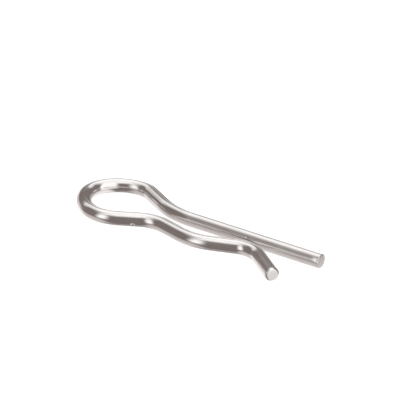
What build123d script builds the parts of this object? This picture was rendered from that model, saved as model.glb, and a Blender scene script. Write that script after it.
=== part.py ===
from build123d import *
import math
import os

# Hairpin cotter: one length of round spring wire, cut to length and bent in one
# plane.  A straight leg goes through the cross hole of a shaft.  The wire then
# steps outward, runs round a finger loop, comes back towards the straight leg,
# humps outward to seat on the shaft, closes to a narrow throat and flares out at
# the tip, which guides the clip over the shaft.
#
# Millimetres.  +X runs along the straight leg to its free end, +Y is the side
# that the straight leg lies on, +Z is up.  The clip lies flat: the wire's
# underside is in the plane Z = 0, below the middle of the clip's own box.

WIRE_D = 2.0          # wire diameter
LEG_END_ROUND = 0.08  # rounding of the rim at the straight leg's cut end
TIP_END_ROUND = 0.30  # rounding of the rim at the tip's cut end

LEG_LEN = 20.95       # straight leg, from its cut end to the first bend

STEP_R = 11.3         # bend that swings the leg outward to the loop
STEP_TURN = 28.4      # degrees
STEP_RUN = 3.5        # straight run between that bend and the loop

# Finger loop, to the middle of the wire: radius and turn in degrees of each arc,
# from the leg's side, round the back, to the hump's side.  The shoulder and the
# back are bent tighter than the arcs between them.
LOOP_BENDS = (
    (3.7, 30.5),      # shoulder, where the step turns into the loop
    (6.5, 45.9),      # leg side
    (3.7, 57.6),      # back
    (4.9, 77.7),      # hump side
    (6.3, 22.5),      # easing out into the run to the neck
)
LOOP_RUN = 2.8        # straight run from the loop to the neck

NECK_R = 5.9          # neck, where the wire comes close to the leg behind the hump
NECK_TURN = 39.8      # degrees
NECK_RUN = 3.0        # straight run from the neck to the hump

HUMP_R = 8.5          # hump that seats on the shaft
HUMP_TURN = 32.3      # degrees
HUMP_RUN = 3.8        # straight run from the hump down to the throat

THROAT_R = 4.2        # throat, where the clip snaps over the shaft
THROAT_TURN = 55.5    # degrees
TIP_RUN = 5.3         # straight flared tip

# Each run is ("line", length) or ("arc", radius, turn), where a positive turn is
# to the left, going from the straight leg's cut end to the flared tip.
RUNS = [
    ("line", LEG_LEN),
    ("arc", STEP_R, -STEP_TURN),
    ("line", STEP_RUN),
    *[("arc", radius, turn) for radius, turn in LOOP_BENDS],
    ("line", LOOP_RUN),
    ("arc", NECK_R, -NECK_TURN),
    ("line", NECK_RUN),
    ("arc", HUMP_R, HUMP_TURN),
    ("line", HUMP_RUN),
    ("arc", THROAT_R, -THROAT_TURN),
    ("line", TIP_RUN),
]


def unit(deg):
    return math.cos(math.radians(deg)), math.sin(math.radians(deg))


# The middle of the wire, walked run by run in its own plane: the straight leg
# starts at (0, 0) and heads towards -X.
x, y, heading = 0.0, 0.0, 180.0
edges = []
length = 0.0
for run in RUNS:
    if run[0] == "line":
        c, s = unit(heading)
        nx, ny = x + run[1] * c, y + run[1] * s
        edges.append(Line((x, y, 0), (nx, ny, 0)))
        length += run[1]
    else:
        radius, turn = run[1], run[2]
        side = 1.0 if turn > 0 else -1.0
        c, s = unit(heading)
        cx, cy = x - side * radius * s, y + side * radius * c
        c, s = unit(heading + turn / 2)
        mx, my = cx + side * radius * s, cy - side * radius * c
        heading += turn
        c, s = unit(heading)
        nx, ny = cx + side * radius * s, cy - side * radius * c
        edges.append(ThreePointArc((x, y, 0), (mx, my, 0), (nx, ny, 0)))
        length += radius * math.radians(abs(turn))
    x, y = nx, ny

path = Wire(edges)
section = Plane(origin=(0, 0, 0), z_dir=(-1, 0, 0)) * Circle(WIRE_D / 2)
wire = sweep(section, path=path)

# The rims of the two cut ends are rounded.
for at, rounding in (((0, 0, 0), LEG_END_ROUND), ((x, y, 0), TIP_END_ROUND)):
    end = min(wire.faces().filter_by(GeomType.PLANE), key=lambda f: (f.center() - Vector(*at)).length)
    wire = fillet(end.edges(), rounding)

# The clip lies on Z = 0, centred on its own box.
box = wire.bounding_box()
middle = box.center()
wire = Pos(-middle.X, -middle.Y, -box.min.Z) * wire

solid = wire.solids()[0]
solid.label = "spring_wire"
solid.color = Color(0.72, 0.70, 0.68)

os.makedirs("parts", exist_ok=True)
export_step(solid, "parts/spring_wire.step")

box = solid.bounding_box()
print("wire length %.2f mm, volume %.2f mm3, section x length %.2f mm3" % (
    length, solid.volume, math.pi * WIRE_D ** 2 / 4 * length))
print("box %.3f x %.3f x %.3f mm, centre shift %.4f %.4f" % (
    box.size.X, box.size.Y, box.size.Z, -middle.X, -middle.Y))
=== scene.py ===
import math

import bpy
import numpy as np
from mathutils import Matrix, Vector


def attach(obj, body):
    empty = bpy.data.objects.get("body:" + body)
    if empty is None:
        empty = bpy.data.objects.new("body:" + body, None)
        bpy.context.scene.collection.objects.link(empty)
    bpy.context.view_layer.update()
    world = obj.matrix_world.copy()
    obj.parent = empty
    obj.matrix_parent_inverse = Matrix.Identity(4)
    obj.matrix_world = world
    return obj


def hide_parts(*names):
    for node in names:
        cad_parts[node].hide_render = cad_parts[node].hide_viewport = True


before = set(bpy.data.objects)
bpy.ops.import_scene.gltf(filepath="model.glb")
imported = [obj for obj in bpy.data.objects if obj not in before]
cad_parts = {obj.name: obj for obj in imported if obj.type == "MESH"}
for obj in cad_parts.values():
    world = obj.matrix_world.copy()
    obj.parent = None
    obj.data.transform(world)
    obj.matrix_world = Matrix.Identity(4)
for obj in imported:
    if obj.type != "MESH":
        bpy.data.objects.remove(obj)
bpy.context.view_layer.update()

# ---------------------------------------------------------------- the wire's form
# Hairpin cotter: one round spring wire bent in one plane.  Metres, same frame as
# the solid: +X along the straight leg to its free end, wire lying on Z = 0.

MM = 0.001
WIRE_R = 1.0 * MM
LEG_END_ROUND, TIP_END_ROUND = 0.08 * MM, 0.30 * MM
SHIFT = (18.9207 * MM, 1.4413 * MM)

# ("line", length mm) or ("arc", radius mm, turn in degrees, left positive), from
# the straight leg's cut end to the flared tip
RUNS = [
    ("line", 20.95),
    ("arc", 11.3, -28.4),
    ("line", 3.5),
    ("arc", 3.7, 30.5),
    ("arc", 6.5, 45.9),
    ("arc", 3.7, 57.6),
    ("arc", 4.9, 77.7),
    ("arc", 6.3, 22.5),
    ("line", 2.8),
    ("arc", 5.9, -39.8),
    ("line", 3.0),
    ("arc", 8.5, 32.3),
    ("line", 3.8),
    ("arc", 4.2, -55.5),
    ("line", 5.3),
]
# Small marks of bending and handling: distance along, angle round the wire in
# degrees (0 to the left of the way along, 90 on top), half length, half width and
# depth in mm, and how much the spot is scuffed
MARKS = [
    (0.12, 33.0, 0.48, 0.25, 0.045, 0.10),
    (11.35, 25.0, 0.20, 0.20, 0.012, 0.70),
    (52.12, -159.0, 0.19, 0.22, 0.130, 0.90),
]
FACE_DOME = 0.020 * MM   # the cut faces are a little crowned
STEP = 0.125 * MM        # spacing of the rings along the wire
AROUND = 96              # points around the wire
RIM_STEPS = 8            # rings over each rounded rim
FACE_STEPS = 10          # rings across each cut face
STRIPS = 4               # lengths of wire laid side by side in the bake map


def route():
    """Distance along, point and heading of the wire's middle, ring by ring."""
    x, y, h, s = 0.0, 0.0, math.pi, 0.0
    out = [(s, x, y, h)]
    for run in RUNS:
        if run[0] == "line":
            length = run[1] * MM
            n = max(2, round(length / STEP))
            for k in range(1, n + 1):
                q = length * k / n
                out.append((s + q, x + q * math.cos(h), y + q * math.sin(h), h))
            s, x, y = out[-1][0], out[-1][1], out[-1][2]
        else:
            r, turn = run[1] * MM, math.radians(run[2])
            side = 1.0 if turn > 0 else -1.0
            cx, cy = x - side * r * math.sin(h), y + side * r * math.cos(h)
            n = max(4, round(abs(turn) * r / STEP))
            for k in range(1, n + 1):
                q = h + turn * k / n
                out.append((s + abs(turn) * r * k / n, cx + side * r * math.sin(q), cy - side * r * math.cos(q), q))
            s, x, y, h = out[-1]
    return np.array(out)


def build_wire():
    mid = route()
    length = mid[-1, 0]
    # trim the run's ends by the rim's rounding: the rim and the face close them
    keep = (mid[:, 0] > LEG_END_ROUND + FACE_DOME * 1.5) & (mid[:, 0] < length - TIP_END_ROUND - FACE_DOME * 1.5)
    body = mid[keep]

    def at(s):
        return [np.interp(s, mid[:, 0], mid[:, k]) for k in (1, 2, 3)]

    rings = []          # distance along, x, y, heading, radius, distance on the skin, face mask
    def rim(end):
        got = []
        s_end = 0.0 if end == 0 else length
        rounding = LEG_END_ROUND if end == 0 else TIP_END_ROUND
        inward = 1.0 if end == 0 else -1.0
        for k in range(RIM_STEPS + 1):
            a = math.pi / 2 * k / RIM_STEPS      # 0 on the barrel, 90 degrees on the face
            s = s_end + inward * (rounding * (1 - math.sin(a)) + FACE_DOME)
            got.append((s, *at(s), WIRE_R - rounding * (1 - math.cos(a)), rounding * a, 0.0 if k < RIM_STEPS - 1 else 1.0))
        flat = WIRE_R - rounding
        for k in range(1, FACE_STEPS):
            r = flat * (1 - k / FACE_STEPS)
            s = s_end + inward * FACE_DOME * (r / flat) ** 2
            got.append((s, *at(s), r, rounding * math.pi / 2 + flat - r, 1.0))
        return got

    first, last = rim(0), rim(1)
    rings += first[::-1]
    rings += [(s, x, y, h, WIRE_R, 0.0, 0.0) for s, x, y, h in body]
    rings += last
    rings = np.array(rings)
    n_ring = len(rings)

    ang = np.arange(AROUND) / AROUND * 2 * math.pi
    ca, sa = np.cos(ang), np.sin(ang)
    px = rings[:, 1] + SHIFT[0]
    py = rings[:, 2] + SHIFT[1]
    h = rings[:, 3]
    r = np.repeat(rings[:, 4][:, None], AROUND, 1)
    scuff = np.zeros_like(r)
    for s0, a0, half_l, half_w, depth, worn in MARKS:
        round_it = (np.degrees(ang)[None] - a0 + 180) % 360 - 180
        near = np.exp(-((rings[:, 0][:, None] / MM - s0) / half_l) ** 2 - (np.radians(round_it) * WIRE_R / MM / half_w) ** 2)
        r = r - near * depth * MM * (rings[:, 6][:, None] < 0.5)
        scuff = np.maximum(scuff, near * worn)
    left = np.stack([-np.sin(h), np.cos(h)], 1)
    co = np.empty((n_ring, AROUND, 3))
    co[:, :, 0] = px[:, None] + r * ca[None] * left[:, :1]
    co[:, :, 1] = py[:, None] + r * ca[None] * left[:, 1:]
    co[:, :, 2] = WIRE_R + r * sa[None]
    # the wire pulled straight: along, and the two ways across
    flat = np.empty((n_ring, AROUND, 3))
    flat[:, :, 0] = rings[:, 0][:, None]
    flat[:, :, 1] = r * ca[None]
    flat[:, :, 2] = r * sa[None]
    mask = np.repeat(rings[:, 6][:, None], AROUND, 1)

    ends = [(0.0, *at(0.0)), (length, *at(length))]
    verts = co.reshape(-1, 3).tolist() + [[x + SHIFT[0], y + SHIFT[1], WIRE_R] for _, x, y, _ in ends]
    flats = flat.reshape(-1, 3).tolist() + [[s, 0.0, 0.0] for s, *_ in ends]
    masks = mask.ravel().tolist() + [1.0, 1.0]
    scuffs = scuff.ravel().tolist() + [0.0, 0.0]
    pole0, pole1 = n_ring * AROUND, n_ring * AROUND + 1

    faces, uvs = [], []
    # bake map: the skin, unrolled from pole to pole, cut into strips side by side
    skin = np.concatenate([[0.0], np.cumsum(np.linalg.norm(np.diff(np.c_[rings[:, 0], rings[:, 4]], axis=0), axis=1))])
    skin += WIRE_R / FACE_STEPS
    total = skin[-1] + WIRE_R / FACE_STEPS
    girth = 2 * math.pi * WIRE_R
    cuts = [total * k / STRIPS for k in range(STRIPS + 1)]
    cut_ring = [0] + [int(np.argmin(abs(skin - c))) for c in cuts[1:-1]] + [n_ring - 1]
    gap = 0.25 * MM
    wide = max(skin[cut_ring[k + 1]] - skin[cut_ring[k]] for k in range(STRIPS)) + 3 * WIRE_R / FACE_STEPS
    tall = STRIPS * (girth + gap) + gap
    scale = 0.985 / max(wide + 2 * gap, tall)

    def uv(strip, s, k):
        return ((gap + WIRE_R / FACE_STEPS + s - skin[cut_ring[strip]]) * scale, (gap + strip * (girth + gap) + girth * k / AROUND) * scale)

    strip = 0
    for i in range(n_ring - 1):
        while i >= cut_ring[strip + 1]:
            strip += 1
        for k in range(AROUND):
            k2 = (k + 1) % AROUND
            a, b = i * AROUND + k, i * AROUND + k2
            faces.append((a, b, b + AROUND, a + AROUND))
            uvs += [uv(strip, skin[i], k), uv(strip, skin[i], k + 1), uv(strip, skin[i + 1], k + 1), uv(strip, skin[i + 1], k)]
    for k in range(AROUND):
        k2 = (k + 1) % AROUND
        faces.append((pole0, k2, k))
        uvs += [uv(0, skin[0] - WIRE_R / FACE_STEPS, k + 0.5), uv(0, skin[0], k + 1), uv(0, skin[0], k)]
        e = (n_ring - 1) * AROUND
        faces.append((pole1, e + k, e + k2))
        uvs += [uv(STRIPS - 1, total, k + 0.5), uv(STRIPS - 1, skin[-1], k), uv(STRIPS - 1, skin[-1], k + 1)]

    me = bpy.data.meshes.new("spring_wire_skin")
    me.from_pydata(verts, [], faces)
    layer = me.uv_layers.new(name="OFBake")
    layer.uv.foreach_set("vector", np.array(uvs, dtype=np.float32).ravel())
    att = me.attributes.new("wire_co", "FLOAT_VECTOR", "POINT")
    att.data.foreach_set("vector", (np.array(flats, dtype=np.float32) / MM).ravel())
    att = me.attributes.new("cut_face", "FLOAT", "POINT")
    att.data.foreach_set("value", np.array(masks, dtype=np.float32))
    att = me.attributes.new("scuff", "FLOAT", "POINT")
    att.data.foreach_set("value", np.array(scuffs, dtype=np.float32))
    me.validate()
    me.polygons.foreach_set("use_smooth", np.ones(len(me.polygons), dtype=bool))
    me.update()
    ob = bpy.data.objects.new("spring_wire_skin", me)
    bpy.context.scene.collection.objects.link(ob)
    return ob


# ---------------------------------------------------------------- node helpers
class Nodes:
    """Short hands for building one node tree."""

    def __init__(self, tree):
        self.t = tree
        tree.nodes.clear()

    def new(self, kind, **props):
        n = self.t.nodes.new(kind)
        for k, v in props.items():
            setattr(n, k, v)
        return n

    def put(self, socket, value):
        if hasattr(value, "is_output"):
            self.t.links.new(value, socket)
        else:
            socket.default_value = value

    def math(self, op, a, b=0.0, c=0.0, clamp=False):
        n = self.new("ShaderNodeMath", operation=op, use_clamp=clamp)
        for s, v in zip(n.inputs, (a, b, c)):
            self.put(s, v)
        return n.outputs[0]

    def dot(self, a, b):
        n = self.new("ShaderNodeVectorMath", operation="DOT_PRODUCT")
        self.put(n.inputs[0], a)
        self.put(n.inputs[1], b)
        return n.outputs["Value"]

    def ramp(self, value, lo, hi, out_lo=0.0, out_hi=1.0, smooth=True):
        n = self.new("ShaderNodeMapRange", interpolation_type="SMOOTHSTEP" if smooth else "LINEAR")
        for s, v in zip(n.inputs, (value, lo, hi, out_lo, out_hi)):
            self.put(s, v)
        return n.outputs[0]

    def times(self, *values):
        out = values[0]
        for v in values[1:]:
            out = self.math("MULTIPLY", out, v)
        return out

    def noise(self, vector, scale, detail=2.0, rough=0.5, dims="3D"):
        n = self.new("ShaderNodeTexNoise", noise_dimensions=dims)
        self.put(n.inputs["Vector"], vector)
        n.inputs["Scale"].default_value = scale
        n.inputs["Detail"].default_value = detail
        n.inputs["Roughness"].default_value = rough
        return n.outputs[0]

    def scaled(self, vector, by):
        n = self.new("ShaderNodeVectorMath", operation="MULTIPLY")
        self.put(n.inputs[0], vector)
        n.inputs[1].default_value = by
        return n.outputs[0]

    def mix_colour(self, factor, a, b):
        n = self.new("ShaderNodeMix", data_type="RGBA")
        self.put(n.inputs[0], factor)
        self.put(n.inputs[6], a)
        self.put(n.inputs[7], b)
        return n.outputs[2]


# ---------------------------------------------------------------- bright drawn steel
def steel():
    m = bpy.data.materials.new("bright_drawn_steel")
    m.use_nodes = True
    n = Nodes(m.node_tree)
    out = n.new("ShaderNodeOutputMaterial")
    bsdf = n.new("ShaderNodeBsdfPrincipled")
    n.t.links.new(bsdf.outputs[0], out.inputs[0])
    bsdf.inputs["Metallic"].default_value = 1.0
    bsdf.inputs["IOR"].default_value = 1.5

    co = n.new("ShaderNodeAttribute", attribute_name="wire_co").outputs["Vector"]
    face = n.new("ShaderNodeAttribute", attribute_name="cut_face").outputs["Fac"]
    worn = n.new("ShaderNodeAttribute", attribute_name="scuff").outputs["Fac"]

    # draw lines: noise stretched along the wire, in two widths
    fine = n.noise(n.scaled(co, (0.10, 14.0, 14.0)), 1.0, 3.0, 0.6)
    broad = n.noise(n.scaled(co, (0.05, 4.5, 4.5)), 1.0, 2.0, 0.5)
    # handling: soft cloudy patches and small scuffs
    cloud = n.noise(n.scaled(co, (0.55, 0.9, 0.9)), 1.0, 3.0, 0.55)
    grain = n.noise(n.scaled(co, (22.0, 22.0, 22.0)), 1.0, 2.0, 0.5)

    tone = n.mix_colour(n.ramp(cloud, 0.35, 0.68), (0.775, 0.755, 0.735, 1), (0.825, 0.805, 0.785, 1))
    tone = n.mix_colour(n.math("MULTIPLY", n.ramp(fine, 0.52, 0.72), 0.35), tone, (0.70, 0.675, 0.65, 1))
    n.put(bsdf.inputs["Base Color"], tone)

    rough = n.math("ADD", n.ramp(cloud, 0.3, 0.7, 0.085, 0.125, False), n.ramp(fine, 0.45, 0.75, 0.0, 0.035, False))
    rough = n.math("ADD", rough, n.math("MULTIPLY", face, 0.12))
    rough = n.math("ADD", rough, n.math("MULTIPLY", n.ramp(worn, 0.25, 0.9), 0.38))
    n.put(bsdf.inputs["Roughness"], rough)

    lines = n.math("ADD", n.math("MULTIPLY", fine, 0.55), n.math("MULTIPLY", broad, 0.8))
    height = n.math("ADD", n.math("MULTIPLY", lines, n.math("SUBTRACT", 1.0, face)), n.math("MULTIPLY", grain, n.math("MULTIPLY_ADD", face, 0.9, 0.10)))
    bump = n.new("ShaderNodeBump")
    bump.inputs["Strength"].default_value = 0.10
    bump.inputs["Distance"].default_value = 0.00004
    n.put(bump.inputs["Height"], height)
    n.t.links.new(bump.outputs[0], bsdf.inputs["Normal"])
    return m


# ---------------------------------------------------------------- camera
# Wire diameters and pixels: 14.922 px to a wire at the straight leg's end, 400
# wires away, that end at (321.45, 261.35) in a 415 px square frame.
AZ, EL = math.radians(33.105), math.radians(29.5)
RIGHT = Vector((math.cos(AZ), math.sin(AZ), 0.0))
AWAY = Vector((-math.sin(AZ), math.cos(AZ), 0.0))
FORWARD = AWAY * math.cos(EL) - Vector((0, 0, math.sin(EL)))
UP = AWAY * math.sin(EL) + Vector((0, 0, math.cos(EL)))


def camera():
    frame_px, px_per_d, far_d, at = 415.0, 14.922, 400.0, (321.45, 261.35)
    d = 2 * WIRE_R
    leg_end = Vector((SHIFT[0], SHIFT[1], WIRE_R))
    ox = (at[0] - frame_px / 2) / px_per_d * d
    oy = -(at[1] - frame_px / 2) / px_per_d * d
    place = leg_end - FORWARD * (far_d * d) - RIGHT * ox - UP * oy
    data = bpy.data.cameras.new("camera")
    data.sensor_width = 36.0
    data.sensor_height = 36.0
    data.sensor_fit = "HORIZONTAL"
    data.lens = 36.0 * px_per_d * far_d / frame_px
    data.clip_start, data.clip_end = 0.01, 100.0
    ob = bpy.data.objects.new("camera", data)
    turn = Matrix((RIGHT, UP, -FORWARD)).transposed().to_4x4()
    ob.matrix_world = Matrix.Translation(place) @ turn
    bpy.context.scene.collection.objects.link(ob)
    bpy.context.scene.camera = ob


# ---------------------------------------------------------------- light
# The studio, as the bright wire mirrors it.  Angles in degrees: azimuth 0 is the
# far side of the table, 90 its right and 180 the near side; elevation is above it.
# Each panel: azimuth from, to, softness; elevation from, to, softness; strength.
PANELS = [
    (118.5, 182.0, 7.0, -24.1, 56.9, 14.0, 1.05),     # tall window, right front
    (-241.5, -178.0, 7.0, -24.1, 56.9, 14.0, 1.05),   # the same window, where it runs past straight behind
    (-142.0, -120.3, 8.0, -12.0, 37.5, 11.0, 1.06),   # upright panel, left front
    (-132.5, -111.0, 8.0, 36.5, 58.3, 8.3, 0.60),     # spill of that panel on the wall above it
    (-25.9, 22.3, 10.6, 37.6, 69.3, 2.4, 0.34),       # strip light, far side, high
    (-55.9, 53.9, 9.5, 37.8, 66.4, 2.2, 0.64),        # spill round that strip
    (-56.0, -37.0, 4.7, 31.5, 41.0, 2.5, 0.32),       # its left end, which hangs lower
    (-65.0, -51.5, 4.0, 27.0, 36.5, 3.0, 0.42),       # and a card beside that end
    (28.6, 60.2, 6.0, 33.7, 46.2, 3.1, 0.16),         # its right end
    (-7.3, 10.0, 3.8, 34.6, 41.4, 2.0, 0.60),         # its middle
    (-7.0, 6.4, 6.0, -18.6, 21.6, 4.4, 1.15),         # narrow sweep of white paper, far side
    (-64.5, -8.4, 13.5, -37.8, 3.5, 8.5, 0.50),       # table glow, far left
    (16.0, 160.5, 16.5, -90.8, -28.3, 13.4, 0.73),    # table glow, right
    (-130.5, -15.9, 12.0, -66.8, -23.6, 8.9, 0.40),   # table glow, left
    (-12.5, 21.5, 10.7, -54.5, -19.1, 8.5, 0.22),     # table glow, far side
]
CEILING = (60.6, 5.3, -0.3, 16.0, 1.00)  # lower edge: level, far side more, right more; softness; strength
NADIR = (-59.8, 15.1, -2.3, 11.3, 0.17)  # under the table: upper edge likewise
ROOM = 0.197                             # dim room


def studio():
    w = bpy.data.worlds.new("studio")
    bpy.context.scene.world = w
    w.use_nodes = True
    n = Nodes(w.node_tree)
    out = n.new("ShaderNodeOutputWorld")
    back = n.new("ShaderNodeBackground")
    n.t.links.new(back.outputs[0], out.inputs[0])
    way = n.new("ShaderNodeTexCoord").outputs["Generated"]
    across = n.dot(way, tuple(RIGHT))
    along = n.dot(way, tuple(AWAY))
    rise = n.dot(way, (0.0, 0.0, 1.0))
    az = n.math("MULTIPLY", n.math("ARCTAN2", across, along), 180 / math.pi)
    el = n.math("MULTIPLY", n.math("ARCSINE", rise), 180 / math.pi)

    turn = n.math("ARCTAN2", across, along)
    far, right = n.math("COSINE", turn), n.math("SINE", turn)

    def edge(spec):
        level, far_more, right_more, soft, strength = spec
        return n.math("MULTIPLY_ADD", far, far_more, n.math("MULTIPLY_ADD", right, right_more, level)), soft, strength

    level, soft, strength = edge(CEILING)
    light = n.math("MULTIPLY", n.ramp(n.math("SUBTRACT", el, level), -soft, soft), strength)
    level, soft, strength = edge(NADIR)
    light = n.math("ADD", light, n.math("MULTIPLY", n.ramp(n.math("SUBTRACT", level, el), -soft, soft), strength))
    glow = 0.0
    for a0, a1, aw, e0, e1, ew, strength in PANELS:
        lit = n.times(
            n.ramp(az, a0 - aw, a0 + aw), n.ramp(az, a1 - aw, a1 + aw, 1.0, 0.0),
            n.ramp(el, e0 - ew, e0 + ew), n.ramp(el, e1 - ew, e1 + ew, 1.0, 0.0), strength)
        if e0 < -30:
            glow = n.math("ADD", glow, lit)
        else:
            light = n.math("ADD", light, lit)
    # lamps are neutral, the table's glow a little warm, the room warmer
    bright = n.new("ShaderNodeVectorMath", operation="MULTIPLY")
    n.put(bright.inputs[0], light)
    bright.inputs[1].default_value = (0.975, 1.0, 1.025)
    warm = n.new("ShaderNodeVectorMath", operation="MULTIPLY_ADD")
    n.put(warm.inputs[0], glow)
    warm.inputs[1].default_value = (1.035, 1.0, 1.02)
    n.t.links.new(bright.outputs[0], warm.inputs[2])
    total = n.new("ShaderNodeVectorMath", operation="ADD")
    n.t.links.new(warm.outputs[0], total.inputs[0])
    total.inputs[1].default_value = (ROOM * 1.16, ROOM, ROOM * 0.955)
    n.t.links.new(total.outputs[0], back.inputs[0])
    w.cycles.sampling_method = "MANUAL"
    w.cycles.sample_map_resolution = 1024

    # fill for the table top alone, so that it stays pale
    sun = bpy.data.lights.new("table_fill", "SUN")
    sun.energy = 3.0
    sun.angle = math.radians(60)
    sun.use_shadow = False
    ob = bpy.data.objects.new("table_fill", sun)
    ob.visible_glossy = False
    bpy.context.scene.collection.objects.link(ob)


def table_top():
    half = 12.0
    me = bpy.data.meshes.new("floor")
    me.from_pydata([(-half, -half, 0), (half, -half, 0), (half, half, 0), (-half, half, 0)], [], [(0, 1, 2, 3)])
    ob = bpy.data.objects.new("floor", me)
    bpy.context.scene.collection.objects.link(ob)
    m = bpy.data.materials.new("pale_floor")
    m.use_nodes = True
    n = Nodes(m.node_tree)
    out = n.new("ShaderNodeOutputMaterial")
    white = n.new("ShaderNodeBsdfDiffuse")
    white.inputs["Color"].default_value = (0.92, 0.92, 0.92, 1)
    n.t.links.new(white.outputs[0], out.inputs[0])
    me.materials.append(m)
    ob.visible_glossy = False      # the wire mirrors the studio, not the table


# ---------------------------------------------------------------- put together
wire = build_wire()
wire.data.materials.append(steel())
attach(wire, "root")
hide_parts("spring_wire")

camera()
studio()
table_top()

scene = bpy.context.scene
scene.view_settings.view_transform = "Standard"
scene.view_settings.look = "None"
scene.view_settings.exposure = 0.0
scene.view_settings.gamma = 1.0
